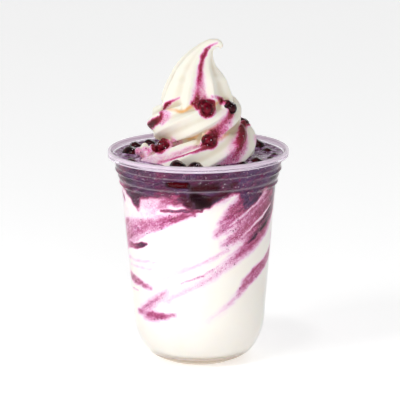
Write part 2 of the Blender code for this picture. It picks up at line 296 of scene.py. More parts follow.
LILAC_HIGHLIGHT = colour(239, 227, 238)
FOOT_SHADE_BEIGE = colour(208, 194, 178)
CLEAR = (0.98, 0.98, 1.0, 1)
CLEAR_SHADOW = (0.97, 0.97, 0.98, 1)


def clear_plastic():
    """Thin, faintly rippled sheet, milky where thick: lilac bands of painted highlight on lip and rings,
    painted beige shade in the foot.
    """
    look, tree, shader = new_look("clear_plastic", Roughness=0.04, IOR=1.2)
    place = on_piece(tree)
    height = add(tree, "ShaderNodeSeparateXYZ", {"Vector": place}).outputs["Z"]
    # painted highlight lines: the lip's milky bands
    up_lip = scaled(tree, height, CUP_HEIGHT - RIM_DROP - 0.5 * MM, CUP_HEIGHT)
    painted_light_milk = ramp(tree, up_lip, [(share, (milky, milky, milky, 1)) for share, milky in LIP_HIGHLIGHT_BANDS])
    # painted highlight lines on the stacking rings and at the foot
    for middle, reach, milky in HIGHLIGHT_LINES:
        painted_light_milk = calculated(tree, "MULTIPLY_ADD", near(tree, height, middle, reach), milky, painted_light_milk)
    # painted shade: the foot is made milky and beige
    in_foot = scaled(tree, near(tree, height, 0.0, 2 * FOOT_ZONE), 0.47, 0.53)
    painted_light_milk = calculated(tree, "MULTIPLY_ADD", in_foot, FOOT_SHADE_MILK, painted_light_milk)
    tint = mixed(tree, in_foot, LILAC_HIGHLIGHT, FOOT_SHADE_BEIGE)
    milky = calculated(tree, "GREATER_THAN", painted_light_milk, 0.03)
    tree.links.new(mixed(tree, milky, CLEAR, tint), shader.inputs["Base Color"])
    tree.links.new(minus(tree, 1.0, painted_light_milk).outputs[0], shader.inputs["Transmission Weight"])
    relief(tree, shader, cloud(tree, place, 60.0, 1.0), 0.15, 0.4 * MM)
    see = add(tree, "ShaderNodeBsdfTransparent", {"Color": CLEAR_SHADOW})
    path = add(tree, "ShaderNodeLightPath")
    mix = add(tree, "ShaderNodeMixShader", {0: path.outputs["Is Shadow Ray"], 1: shader, 2: see})
    tree.links.new(mix.outputs[0], tree.nodes["Material Output"].inputs["Surface"])
    return look


outside = softened([
    (FOOT_RADIUS - 1.5 * FOOT_WIDTH, 2 * FOOT_LIFT),
    (FOOT_RADIUS - FOOT_WIDTH, 0),
    (FOOT_RADIUS, 0),
    *bowl_curve(FOOT_LIFT, FOOT_RADIUS, BOWL_RADIUS),
    *wall_line(0.0),
])
skirt = softened([  # it draws in under the curl and ends in a bead
    (RIM_RADIUS - WALL, CUP_HEIGHT - 1.2 * MM),
    (RIM_RADIUS - WALL - SKIRT_WAIST, CUP_HEIGHT - RIM_DROP),
    (RIM_RADIUS - BEAD_INSET, CUP_HEIGHT - RIM_DROP),
    (RIM_RADIUS - BEAD_INSET, CUP_HEIGHT - RIM_DROP + 0.8 * MM),
    (RIM_RADIUS - SKIRT_WAIST, CUP_HEIGHT - RIM_DROP + 1.4 * MM),
    (RIM_RADIUS, CUP_HEIGHT - 1.3 * MM),
], 0.3 * MM)
section = [
    (0, 2 * FOOT_LIFT),
    *outside,
    *curl(CURL_RADIUS - WALL),
    *skirt,
    *reversed(curl(CURL_RADIUS)),
    *reversed(softened(inner_line())),
    (0, FLOOR_HEIGHT),
]
cup = turned("clear_cup", section, CUP_SIDES)
cup.data.materials.append(clear_plastic())
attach(cup, "root")
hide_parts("cup")

# ------------------------------------------------------------------------------
# The ice cream in the cup: soft-serve that was drawn into the cup over a first pour of sauce. It is
# pressed against the wall, where the sauce shows as marbling in bands that climb to the right.
# ------------------------------------------------------------------------------
FILL_SIDES = 360
FILL_ROWS = 170
INTO_WALL = 0.12 * MM
SAUCE_LEVEL = 108.2 * MM
SAUCE_BASE = 93.2 * MM
LAYER_SHARES = (0.8, 0.5)  # where the face between ice cream and sauce has rings, from axis to wall
WALL_CURVE = np.array(inner_line(-INTO_WALL))


def in_metres(rows, columns):
    """The rows of a table, with the columns that it gives in mm turned into metres."""
    return [tuple(value * MM if n in columns else value for n, value in enumerate(row)) for row in rows]


SAUCE_TONGUES = in_metres((  # azimuth, reach down the wall in mm, half width in degrees
    (-54, 7.5, 8), (3, 6.5, 15), (46, 13, 14), (98, 5, 10),
    (140, 10, 15), (187, 6, 9), (228, 11, 14), (268, 4.5, 9),
), (1,))


def wall_radius(height):
    """How far the cup's inner face is from the axis at a height."""
    return float(np.interp(height, WALL_CURVE[:, 1], WALL_CURVE[:, 0]))


def sauce_edge(azimuth):
    """How high the sauce's lower edge is on the wall: a ragged line with tongues."""
    dip = 0.0
    for middle, reach, half_width in SAUCE_TONGUES:
        away = (azimuth - middle + 180) % 360 - 180
        dip = max(dip, reach * math.exp(-((away / half_width) ** 2)))
    return SAUCE_BASE - dip


def edge_ring(height_for, sides, share=1.0):
    """A ring at a share of the way to the wall, as high as height_for says for the sauce's edge there."""
    ring = []
    for k in range(sides):
        height = height_for(sauce_edge(360 * k / sides))
        ring.append(at(360 * k / sides, share * wall_radius(height), height))
    return ring


def layer_ring(share, sides):
    """A ring of the face between ice cream and sauce."""
    return edge_ring(lambda edge: SAUCE_BASE + (edge - SAUCE_BASE) * share**2, sides, share)


rings = [ring_of(0, FLOOR_HEIGHT - INTO_WALL, FILL_SIDES)]
rings += [ring_of(radius, height, FILL_SIDES) for radius, height in inner_line(-INTO_WALL)[:BOWL_STEPS]]
for n in range(FILL_ROWS + 1):
    rings.append(edge_ring(lambda edge: BOWL_HEIGHT + (edge - BOWL_HEIGHT) * n / FILL_ROWS, FILL_SIDES))
rings += [layer_ring(share, FILL_SIDES) for share in LAYER_SHARES]
rings.append(ring_of(0, SAUCE_BASE, FILL_SIDES))
fill = skin("ice_cream_fill", rings)

VEIL = 6.0  # softness in mm of a wide, washed-out stain
SMEAR = 3.0
LINE = 1.1
# Each mark: its softness, then azimuth, height in mm, half width in mm and percent of sauce along it.
FRONT_MARBLING = (
    (VEIL, (-94, 69, 7.4, 44), (-76, 71, 6.8, 42), (-61, 73, 5.8, 35), (-42, 77, 4.4, 37),
     (-27, 80.6, 3.2, 50), (-15, 83.4, 2.4, 62), (-4, 85.2, 1.5, 68)),
    (SMEAR, (-80, 92.4, 2.2, 80), (-52, 93.6, 2.8, 78), (-38, 94.6, 3, 76), (-24, 95.8, 2.8, 74)),
    (SMEAR, (-84, 86, 3.2, 12), (-78, 82.5, 3.4, 6)),
    (SMEAR, (-84, 79.5, 2.8, 10), (-60, 81.8, 2.4, 5), (-44, 84, 1.7, 10), (-34, 85.4, 1, 20)),
    (SMEAR, (-82, 92.6, 1.6, 16), (-73, 90.2, 2.4, 6), (-68, 86.5, 2.6, 4)),
    (SMEAR, (-57, 93.8, 5.2, 80), (-56, 90.4, 4, 82), (-54, 87.4, 2.2, 82), (-54, 85.6, 1, 78)),
    (SMEAR, (-48, 88, 2.2, 20), (-36, 89.2, 2.8, 24), (-27, 90.2, 2.6, 36)),
    (SMEAR, (-26, 92.6, 2.2, 52), (-16, 92.2, 2.8, 60)),
    (SMEAR, (-9, 95, 3.2, 82), (-8, 91, 3.2, 84), (-5, 88.8, 2.2, 82)),
    (SMEAR, (0, 90, 2.8, 94), (12, 93.2, 3, 90), (21, 96, 2.4, 84)),
    (SMEAR, (-2, 94.6, 3.2, 100), (4, 93, 3.6, 100), (7, 91, 2.4, 98)),
    (VEIL, (44, 92, 6, 66), (36, 88, 5.6, 60), (27, 83.5, 5, 52), (20, 78.5, 3.4, 44), (14, 74.5, 1.8, 34)),
    (VEIL, (66, 90, 4.6, 60), (58, 84.5, 4.8, 56), (48, 80, 5.2, 54), (38, 75.4, 5, 52),
     (28, 71.4, 3.6, 44), (20, 69, 2, 34)),
    (VEIL, (82, 92, 5, 72), (74, 83.5, 5.2, 68), (64, 76.4, 5.2, 66), (51, 69.8, 4.8, 62),
     (41, 64.8, 3.6, 52), (28, 59, 2.4, 36)),
    (VEIL, (28, 59, 2.2, 32), (10, 51.5, 1.6, 24), (-10, 44, 1.2, 18), (-28, 37, 1.2, 26)),
    (SMEAR, (34, 95, 2.4, 76), (45, 91, 4.2, 80), (52, 93, 3.2, 80), (41, 87, 2.4, 74)),
    (SMEAR, (-84, 56.8, 1.8, 0), (-64, 62.2, 2.4, 0), (-49, 67.2, 2.2, 0), (-31, 72.6, 2.2, 0),
     (-15, 78.2, 2.1, 0), (4, 84.8, 1.8, 2), (14, 88.6, 1.6, 6), (21, 92.4, 1.3, 16), (24, 94.8, 0.8, 40)),
    (LINE, (-30, 86.6, 0.7, 66), (-12, 87, 0.9, 74), (2, 86.9, 0.8, 70)),
    (SMEAR, (24, 65, 1.5, 20), (6, 59.6, 1.4, 18), (-14, 54, 1.2, 15), (-32, 49, 0.9, 10)),
    (LINE, (16, 56.4, 0.4, 24), (0, 51.6, 0.6, 30), (-16, 47.4, 0.4, 22)),
    (LINE, (-84, 63, 1.8, 36), (-66, 63.8, 1.7, 50), (-52, 65.6, 1.5, 84), (-46, 66.3, 0.7, 80)),
    (SMEAR, (63, 95, 1.6, 70), (80, 93.6, 3, 76), (95, 92, 3, 76)),
    (LINE, (58.6, 93.6, 0.5, 34), (54, 90, 0.6, 16), (44, 86.2, 0.6, 12), (34, 82.2, 0.6, 14),
     (24.4, 78, 0.5, 18)),
    (SMEAR, (51, 86.4, 0.5, 42), (42, 82.8, 0.8, 42), (32, 78.8, 0.7, 40)),
    (LINE, (70.7, 85, 0.6, 20), (62, 81.7, 0.7, 12), (52, 78.1, 0.7, 12), (42, 74.2, 0.7, 14),
     (35, 71, 0.5, 18)),
    (LINE, (70, 83, 1, 84), (62, 79.4, 0.8, 84), (54, 76.6, 0.5, 78)),
    (LINE, (66, 76.4, 0.8, 90), (62, 74.6, 1, 94), (57, 72.8, 0.6, 86)),
    (LINE, (52, 71.2, 0.6, 86), (48, 69, 0.8, 90), (43, 67.2, 0.4, 80)),
    (LINE, (39, 90.2, 0.6, 90), (36, 88.8, 0.7, 90)),
    (SMEAR, (92, 88, 2.2, 12), (86, 77, 2.2, 4), (77, 70, 2.4, 4), (62, 62.4, 2.2, 0), (51, 58.4, 2, 0),
     (40, 55.4, 1.6, 0)),
    (SMEAR, (96, 63, 3.2, 46), (80, 58.2, 2.8, 50), (66, 53.2, 2.9, 52), (52, 49.4, 3.6, 50),
     (43, 45.8, 3.2, 48), (36, 41.6, 1.6, 42)),
    (VEIL, (38, 41.6, 1.2, 36), (22, 33, 0.7, 25), (6, 27, 0.4, 15)),
    (SMEAR, (-86, 55, 0.7, 22), (-60, 56.4, 0.8, 24), (-36, 57.5, 0.5, 18)),
    (SMEAR, (-86, 52.2, 0.4, 20), (-62, 52.8, 0.5, 22), (-42, 53.6, 0.3, 18)),
    (SMEAR, (-92, 46.4, 2, 44), (-72, 45.4, 2.1, 52), (-57, 44.4, 1.9, 50), (-45, 42.8, 1, 38)),
    (LINE, (-76, 39.4, 0.5, 34), (-64, 39.8, 0.4, 28)),
    (VEIL, (-29, 41.8, 1.2, 28), (-37, 38, 2, 36), (-47, 33.6, 2.8, 42), (-57, 30.4, 2.4, 42)),
    (SMEAR, (-66, 28, 1.4, 42), (-54, 27.8, 2.2, 54), (-42, 28.2, 2.4, 60), (-30, 28.8, 1.6, 52),
     (-22, 30, 0.8, 42)),
)
BEHIND_TURN = 186  # the same hand marbled the cup behind, a little lower
BEHIND_DROP = 3.0
BEHIND_MARBLING = [
    (soft, *((azimuth + BEHIND_TURN, height - BEHIND_DROP, *rest) for azimuth, height, *rest in mark))
    for soft, *mark in FRONT_MARBLING
]
WALL_MEAN_RADIUS = 38.5  # mm
BERRIES_AT_WALL = (  # whole berries that lie against the plastic
    (LINE, (-21, 101, 1.7, 100), (-8, 101.1, 1.7, 100)),
    (SMEAR, (-3, 99.6, 2.2, 94), (12, 99.8, 2.2, 95)),
    (LINE, (24, 100.9, 1, 86), (28, 100.8, 1, 86)),
    (SMEAR, (64, 100.4, 1.6, 95), (70, 100.6, 1.4, 95)),
    (SMEAR, (-62, 99.8, 1.6, 92), (-56, 100.2, 1.4, 92)),
    (SMEAR, (118, 101.4, 1.8, 100), (127, 101.2, 1.6, 100)),
    (LINE, (170, 100.6, 1.8, 100), (179, 101.2, 1.6, 100)),
    (SMEAR, (214, 101.8, 1.5, 95), (222, 101.4, 1.8, 95)),
    (SMEAR, (262, 100.8, 1.7, 100), (270, 101.2, 1.5, 100)),
)
LIT_RED = (  # where light comes through the fruit and shows it red
    (LINE, (-20, 101, 1.2, 90), (-9, 101.1, 1.2, 80)),
    (SMEAR, (-2, 99.8, 1.2, 50), (11, 100, 1.2, 45)),
    (LINE, (24, 100.9, 0.7, 60), (28, 100.8, 0.7, 60)),
    (SMEAR, (-12, 94.4, 2.2, 60), (-9, 91, 2.2, 60), (-6, 88.6, 1.2, 50)),
    (SMEAR, (8, 93.6, 1.2, 50), (14, 94.8, 1.8, 60), (20, 96, 1.2, 50)),
    (LINE, (172, 100.8, 1.2, 80), (178, 101.1, 1.2, 80)),
    (SMEAR, (264, 100.9, 1.1, 60), (269, 101.1, 1.1, 60)),
)
BAND_FOOT = 95.0  # mm: above it, nothing but sauce shows
BAND_SOFT = 2.4
BAND_SAUCE = 0.79
FLOW_SLANT = 0.5  # rise of the laid ice cream for each step round the wall
FLOW_STRETCH = 0.16
FLOW_GRAIN = 3.2 * MM
FLOW_DEPTH = 0.6
SWAY_SEED = 3
WIDE_SWAY = (14 * MM, 0.7 * MM)  # size and reach of what makes the marks wander
FINE_SWAY = (3.4 * MM, 0.6 * MM)


def along_mark(places, mark, soft):
    """How far a mark covers each place, and how much sauce it holds there. All in mm."""
    cover = np.zeros(len(places))
    amount = np.zeros(len(places))
    for (*start, start_width, start_level), (*end, end_width, end_level) in zip(mark, mark[1:]):
        run = np.subtract(end, start)
        away = places - start
        t = np.clip(away @ run / max(run @ run, 1e-9), 0, 1)
        gap = np.linalg.norm(away - t[:, None] * run, axis=1)
        edge = np.clip((start_width + t * (end_width - start_width) - gap) / soft + 0.5, 0, 1)
        edge = edge * edge * (3 - 2 * edge)
        closer = edge > cover
        cover[closer] = edge[closer]
        amount[closer] = (start_level + t * (end_level - start_level))[closer]
    return cover, amount


def swayed(points, size, reach):
    """Points moved about by a smooth noise, so that what is drawn by them wanders."""
    noise.seed_set(SWAY_SEED)
    return points + reach * np.array([noise.noise_vector(Vector(point) / size) for point in points])


def flow_streaks(points):
    """Streaks that follow the slant at which the ice cream was laid, about -1 to 1."""
    height = points[:, 2]
    radius = WALL_MEAN_RADIUS * MM
    angle = np.arctan2(points[:, 0], -points[:, 1]) - height / (FLOW_SLANT * radius)
    along = np.stack([radius * np.sin(angle), radius * np.cos(angle), height * FLOW_STRETCH], 1) / FLOW_GRAIN
    return np.array([noise.fractal(Vector(point), 0.7, 2.1, 4) for point in along])


def wall_marks(points, marks, amount):
    """The amount of sauce at points of the wall, in mm, once marks are laid over it."""
    azimuth = np.degrees(np.arctan2(points[:, 0], -points[:, 1]))
    per_degree = math.radians(WALL_MEAN_RADIUS)
    for soft, *mark in marks:
        middle = sum(row[0] for row in mark) / len(mark)
        across = ((azimuth - middle + 180) % 360 - 180) * per_degree
        line = [((row[0] - middle) * per_degree, row[1], row[2], row[3] / 100) for row in mark]
        cover, level = along_mark(np.stack([across, points[:, 2]], 1), line, soft)
        amount = amount * (1 - cover) + level * cover
    return amount


def wall_sauce(points):
    """How much sauce shows at each point of the wall, 0 to 1, and how much of it is lit red."""
    moved = swayed(swayed(points, *WIDE_SWAY), *FINE_SWAY) / MM
    bare = np.zeros(len(points))
    amount = wall_marks(moved, (*BEHIND_MARBLING, *FRONT_MARBLING), bare)
    band = np.clip((moved[:, 2] - BAND_FOOT) / BAND_SOFT + 0.5, 0, 1)
    amount = amount * (1 - band) + np.maximum(amount, BAND_SAUCE) * band
    amount = amount + FLOW_DEPTH * flow_streaks(points) * amount * (1 - amount)
    amount = np.clip(wall_marks(moved, BERRIES_AT_WALL, amount), 0, 1)
    return amount, wall_marks(moved, LIT_RED, bare)


def carry(target, name, values):
    """Stores one value at each of a mesh's points."""
    attribute = target.data.attributes.new(name, "FLOAT", "POINT")
    attribute.data.foreach_set("value", np.asarray(values, np.float32))


def read_points(target, key="co"):
    """The place of each of a mesh's points, or another vector that it holds there."""
    flat = np.zeros(len(target.data.vertices) * 3, np.float32)
    target.data.vertices.foreach_get(key, flat)
    return flat.reshape(-1, 3).astype(float)


def tints(*stops):
    """Stops of a stain, each a place and the colour there."""
    return [(place, colour(*tint)) for place, *tint in stops]


WALL_STAIN = tints(
    (0, 250, 246, 238), (0.1, 246, 228, 238), (0.25, 232, 178, 213), (0.4, 198, 104, 158),
    (0.54, 170, 46, 108), (0.68, 126, 26, 80), (0.8, 80, 18, 64), (0.92, 46, 4, 26), (1, 24, 0, 8),
)
IVORY = colour(243, 234, 214)
IVORY_SHARE = 0.3
SKIN_SPECK = colour(84, 16, 48)
# Pale specks: ice crystals, and painted glints.
FROST_AND_GLINT = colour(246, 226, 240)
STREWN = (  # grains in half-stained ice cream: cells in a metre, size against a cell, share and colour
    (300, 0.14, 0.7, SKIN_SPECK),
    (620, 0.17, 0.5, SKIN_SPECK),
    (410, 0.12, 0.6, FROST_AND_GLINT),
    (760, 0.15, 0.4, FROST_AND_GLINT),
)
STREWN_FROM = 0.14
EDGE_TEAR = 2.3  # how much a stain's edge is broken up
CRYSTAL_TEAR = 2.6
FOAM = colour(92, 78, 122)  # thin and bluish, in the dense sauce against the wall
FOAM_SHARE = 0.58
SHADE = colour(226, 216, 201)
# Painted light: the red of fruit lit through against the wall.
LIT_THROUGH_RED = colour(78, 1, 8)


def grained(tree, place, tint, scale, size, share, spot):
    """A colour with grains of another strewn in it."""
    cells = add(tree, "ShaderNodeTexVoronoi", {"Vector": place, "Scale": scale})
    return mixed(tree, times(tree, calculated(tree, "LESS_THAN", cells, size), share), tint, spot)


def marbled(tree, place, stops, foam):
    """Ice cream stained by an amount of sauce, with ragged edges, specks of skin and pale grains that are
    ice crystals and painted glints.
    """
    stain = add(tree, "ShaderNodeAttribute", attribute_name="sauce").outputs["Fac"]
    clean = minus(tree, 1.0, stain)
    halfway = times(tree, stain, clean)
    ragged = calculated(tree, "MULTIPLY_ADD", halfway, EDGE_TEAR, 0.05)
    shift = times(tree, minus(tree, cloud(tree, place, 300, 5, 0.7), 0.5), ragged)
    grain = times(tree, minus(tree, cloud(tree, place, 1500), 0.5), times(tree, halfway, CRYSTAL_TEAR))
    amount = calculated(tree, "ADD", calculated(tree, "ADD", stain, shift), grain)
    ivory = times(tree, cloud(tree, place, 90), clean, IVORY_SHARE)
    tint = mixed(tree, ivory, ramp(tree, amount, stops), IVORY)
    haze = scaled(tree, cloud(tree, place, 75, 3), 0.42, 0.62, high=foam)
    tint = mixed(tree, times(tree, haze, near(tree, amount, BAND_SAUCE, 0.16)), tint, FOAM)
    stained = calculated(tree, "GREATER_THAN", halfway, STREWN_FROM)
    for scale, size, share, spot in STREWN:
        tint = grained(tree, place, tint, scale, size, times(tree, stained, share), spot)
    return tint, amount


def soft_serve_look(name, stops, shine, glow_tint, foam):
    """Soft-serve: dense, faintly grainy and lit through, with sauce on it, painted shade in its creases and
    a painted warm glow or lit-through red.
    """
    look, tree, shader = new_look(
        name, Specular_IOR_Level=shine, Subsurface_Weight=0.25, Subsurface_Scale=1.0,
        Subsurface_Radius=(1.4 * MM, 1.0 * MM, 0.7 * MM),
    )
    place = on_piece(tree)
    tint, amount = marbled(tree, place, stops, foam)
    painted_glow = add(tree, "ShaderNodeAttribute", attribute_name="painted_glow").outputs["Fac"]
    crease_shade = add(tree, "ShaderNodeAttribute", attribute_name="crease_shade").outputs["Fac"]
    shaded = mixed(tree, crease_shade, tint, SHADE, "MULTIPLY")
    tree.links.new(mixed(tree, painted_glow, shaded, glow_tint), shader.inputs["Base Color"])
    tree.links.new(scaled(tree, amount, 0.3, 0.8, 0.5, 0.18).outputs[0], shader.inputs["Roughness"])
    relief(tree, shader, cloud(tree, place, 700, 4), 0.25, 0.15 * MM)
    return look


wall_look = soft_serve_look("marbled_ice_cream", WALL_STAIN, 0.0, LIT_THROUGH_RED, FOAM_SHARE)
stained, lit_red = wall_sauce(read_points(fill))
carry(fill, "sauce", stained)
carry(fill, "painted_glow", lit_red)
fill.data.materials.append(wall_look)
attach(fill, "root")
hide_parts("ice_cream")

# ------------------------------------------------------------------------------
# The swirl: a rope of soft-serve from a star nozzle, coiled up from the cup in two and a half turns
# and pulled off into a fluted peak with a hooked tip. Its turns settle and melt into each other.
# ------------------------------------------------------------------------------
ROPE_FLUTES = 6
FLUTE_DEPTH = 0.2
ROPE_TWIST = 425  # degrees that the flutes turn round the rope in each turn of the coil
ROPE_PHASE = -20
COIL = in_metres((  # turn, then in mm: outer radius, height of the rope's middle, rope radius
    (-0.75, 34.0, 94.0, 11.5),
    (-0.50, 34.6, 96.2, 11.5),
    (-0.25, 35.4, 101.4, 11.5),
    (0.00, 33.0, 110.0, 11.5),  # whole turns are at the front
    (0.25, 31.2, 115.0, 11.3),
    (0.50, 29.0, 120.0, 11.0),
    (0.75, 27.0, 126.0, 10.6),
    (1.00, 25.5, 129.0, 10.6),
    (1.25, 23.6, 130.5, 10.4),
    (1.50, 21.0, 133.0, 9.5),
    (1.75, 17.0, 136.0, 7.6),
), (1, 2, 3))
COIL_START = -0.6
COIL_END = 1.77
COIL_STEPS = 420
PEAK_FLUTES = 8
PEAK = in_metres((  # in mm: sideways offset, height and radius; then flute depth, along the middle line
    (-0.5, 131.0, 13.5, 0.05),
    (-0.5, 133.0, 17.5, 0.10),
    (-0.4, 136.0, 20.2, 0.15),
    (-0.3, 139.0, 19.8, 0.16),
    (-0.2, 142.5, 18.8, 0.16),
    (0.0, 148.5, 16.2, 0.16),
    (0.2, 153.0, 13.6, 0.16),
    (1.0, 157.5, 10.2, 0.15),
    (2.6, 161.8, 6.9, 0.13),
    (5.0, 165.5, 4.2, 0.10),
    (8.2, 167.7, 2.8, 0.06),
    (11.2, 167.4, 2.0, 0.03),
    (12.6, 165.3, 0.9, 0.0),
), (0, 1, 2))
PEAK_PHASE = -22
PEAK_TWIST = 14  # degrees from the peak's foot to its tip
PEAK_STEPS = 120
CORE = in_metres(((19, 86), (19, 118), (14, 130), (10, 136)), (0, 1))  # the coil's filled middle
POINTS_ROUND = 96
SWIRL_GRAIN = 0.6 * MM
BERRIES_ON_SWIRL = in_metres((  # azimuth, then in mm: distance from the axis, height, radius
    (12, 18.6, 137.2, 4.8),
    (53, 20.4, 136.1, 4.0),
    (12.5, 25.4, 121.0, 4.1),
    (-44, 25.6, 117.2, 3.8),
    (108, 24.8, 123.5, 3.4),
    (165, 24.0, 126.0, 4.2),
    (200, 18.8, 137.5, 3.9),
    (222, 26.4, 116.0, 4.2),
), (1, 2, 3))
CLOT = 1.04  # size of the clot of crushed fruit that holds a lodged berry, against the berry
CLOT_INSET = 0.45
CLOT_DROP = 0.3
SHREDS = 6  # of skin and flesh round each clot, all sized and placed against the berry
SHRED_STAGGER = (-0.4, 0.4)
SHRED_SPREAD = (0.75, 1.05)
SHRED_SIZES = (0.3, 0.5)
SHRED_LIFT = (-0.1, 0.35)
LUMPS = 18  # crumbs of frozen ice cream that broke off at the left and stuck
LUMP_SPAN = (-96, -50)
LUMP_SPREAD = (3.2 * MM, 7.6 * MM)
LUMP_LIFT = (-0.6 * MM, 1.2 * MM)
LUMP_SIZES = (1.2 * MM, 2.1 * MM)
SEED = 5


def smooth_row(rows, key):
    """The values at key on a smooth curve through rows, whose first value is the key."""
    last = len(rows) - 2
    i = next((n for n in range(last + 1) if key <= rows[n + 1][0]), last)
    before, low, high, after = rows[max(i - 1, 0)], rows[i], rows[i + 1], rows[min(i + 2, last + 1)]
    span = high[0] - low[0]
    t = (key - low[0]) / span
    row = []
    for column in range(1, len(low)):
        a, b = low[column], high[column]
        slope_a = (b - before[column]) / (high[0] - before[0]) * span
        slope_b = (after[column] - a) / (after[0] - low[0]) * span
        row.append(
            a * (2 * t**3 - 3 * t**2 + 1) + slope_a * (t**3 - 2 * t**2 + t)
            + b * (3 * t**2 - 2 * t**3) + slope_b * (t**3 - t**2)
        )
    return row


def coil_point(share):
    """Middle, outward and upward directions, size, flute depth and tilt of the rope."""
    turn = COIL_START + (COIL_END - COIL_START) * share
    outer, height, rope = smooth_row(COIL, turn)
    tilt = math.radians(ROPE_PHASE + ROPE_TWIST * turn)
    middle = at(360 * turn, outer - rope, height)
    return middle, at(360 * turn, 1, 0), Vector((0, 0, 1)), rope, FLUTE_DEPTH, tilt


def peak_point(share):
    """The same for the peak, whose middle line leans over into the hook."""
    rows = [(n / (len(PEAK) - 1), *row) for n, row in enumerate(PEAK)]
    offset, height, radius, depth = smooth_row(rows, share)
    ahead, behind = (smooth_row(rows, min(max(share + step, 0), 1)) for step in (0.004, -0.004))
    along = Vector((ahead[0] - behind[0], 0, ahead[1] - behind[1])).normalized()
    tilt = math.radians(PEAK_PHASE + PEAK_TWIST * share)
    leaning = Vector((along.z, 0, -along.x))
    return Vector((offset, 0, height)), Vector((0, -1, 0)), leaning, radius, depth, tilt


def nozzle_path(name, point_at, steps):
    """A line along a rope's middle that carries what the nozzle does at each point."""
    rows = [point_at(n / steps) for n in range(steps + 1)]
    mesh = bpy.data.meshes.new(name)
    mesh.from_pydata([row[0] for row in rows], [(n, n + 1) for n in range(steps)], [])
    for column, key in enumerate(("middle", "outward", "upward", "size", "depth", "lean")):
        is_vector = column < 3
        attribute = mesh.attributes.new(key, "FLOAT_VECTOR" if is_vector else "FLOAT", "POINT")
        values = np.array([row[column] for row in rows], np.float32).ravel()
        attribute.data.foreach_set("vector" if is_vector else "value", values)
    return placed(name, mesh)


def new_maker(name, **inputs):
    """A Geometry Nodes tree with a named input for each size and kind, and the sockets that give them."""
    tree = bpy.data.node_groups.new(name, "GeometryNodeTree")
    for key, kind in inputs.items():
        kind = "NodeSocket" + kind
        tree.interface.new_socket(key.replace("_", " "), in_out="INPUT", socket_type=kind)
    tree.interface.new_socket("Geometry", in_out="OUTPUT", socket_type="NodeSocketGeometry")
    return tree, add(tree, "NodeGroupInput").outputs


def finished(tree, shaped, look):
    """Ends a tree: its shape made real, in its own material."""
    real = add(tree, "GeometryNodeRealizeInstances", {"Geometry": shaped})
    dressed = add(tree, "GeometryNodeSetMaterial", {"Geometry": real, "Material": look})
    add(tree, "NodeGroupOutput", {"Geometry": dressed})
    return tree


def star_nozzle():
    """Geometry Nodes: draws a round rope along a path, and presses its flutes in."""
    tree, given = new_maker(
        "star_nozzle", Geometry="Geometry", Flutes="Int", Points_Round="Int", Look="Material",
    )

    def carried(key, kind="FLOAT"):
        return add(tree, "GeometryNodeInputNamedAttribute", {"Name": key}, data_type=kind)

    def stretched(direction, length):
        return add(tree, "ShaderNodeVectorMath", {0: direction, "Scale": length}, operation="SCALE")

    def summed(first, second):
        return add(tree, "ShaderNodeVectorMath", {0: first, 1: second}, operation="ADD")

    step = calculated(tree, "DIVIDE", math.tau, given["Points Round"])
    around = times(tree, add(tree, "GeometryNodeInputIndex"), step)
    round_line = {"Resolution": given["Points Round"], "Radius": MM}
    circle = add(tree, "GeometryNodeCurvePrimitiveCircle", round_line)
    marked = add(
        tree, "GeometryNodeStoreNamedAttribute",
        {"Geometry": circle, "Name": "around", "Value": around}, data_type="FLOAT", domain="POINT",
    )
    path = add(tree, "GeometryNodeMeshToCurve", {"Mesh": given["Geometry"]})
    tube = add(tree, "GeometryNodeCurveToMesh", {"Curve": path, "Profile Curve": marked, "Fill Caps": True})
    wave = calculated(tree, "SINE", times(tree, carried("around"), times(tree, given["Flutes"], 0.5)))
    flute = times(tree, carried("depth"), calculated(tree, "ABSOLUTE", wave))
    size = times(tree, carried("size"), minus(tree, 1.0, flute))
    tilt = calculated(tree, "ADD", carried("around"), carried("lean"))
    outward = stretched(carried("outward", "FLOAT_VECTOR"), calculated(tree, "COSINE", tilt))
    upward = stretched(carried("upward", "FLOAT_VECTOR"), calculated(tree, "SINE", tilt))
    spoke = stretched(summed(outward, upward), size)
    place = summed(carried("middle", "FLOAT_VECTOR"), spoke)
    shaped = add(tree, "GeometryNodeSetPosition", {"Geometry": tube, "Position": place})
    return finished(tree, shaped, given["Look"])


def made_plain(target):
    """Turns what an object's modifiers make into its own plain mesh."""
    bpy.context.view_layer.update()
    graph = bpy.context.evaluated_depsgraph_get()
    mesh = bpy.data.meshes.new_from_object(target.evaluated_get(graph))
    target.modifiers.clear()
    target.data = mesh
    return target


def run_through(target, maker, **values):
    """What a tree makes of an object. Its inputs are set by the identifiers of their named sockets."""
    modifier = target.modifiers.new(maker.name, "NODES")
    modifier.node_group = maker
    for item in maker.interface.items_tree:
        key = item.name.replace(" ", "_")
        if item.in_out == "INPUT" and key in values:
            modifier[item.identifier] = values[key]
    return made_plain(target)


def ball_of(name, size, rows):
    """A plain ball."""
    steps = [math.pi * k / rows for k in range(1, rows)]
    line = [(size * math.sin(step), -size * math.cos(step)) for step in steps]
    return turned(name, [(0, -size), *line, (0, size)], 2 * rows)


SWIRL_STAIN = tints(
    (0, 246, 243, 231), (0.1, 250, 232, 238), (0.24, 242, 184, 220), (0.38, 226, 116, 178),
    (0.52, 194, 44, 116), (0.66, 156, 8, 64), (0.82, 116, 0, 34), (1, 56, 0, 12),
)
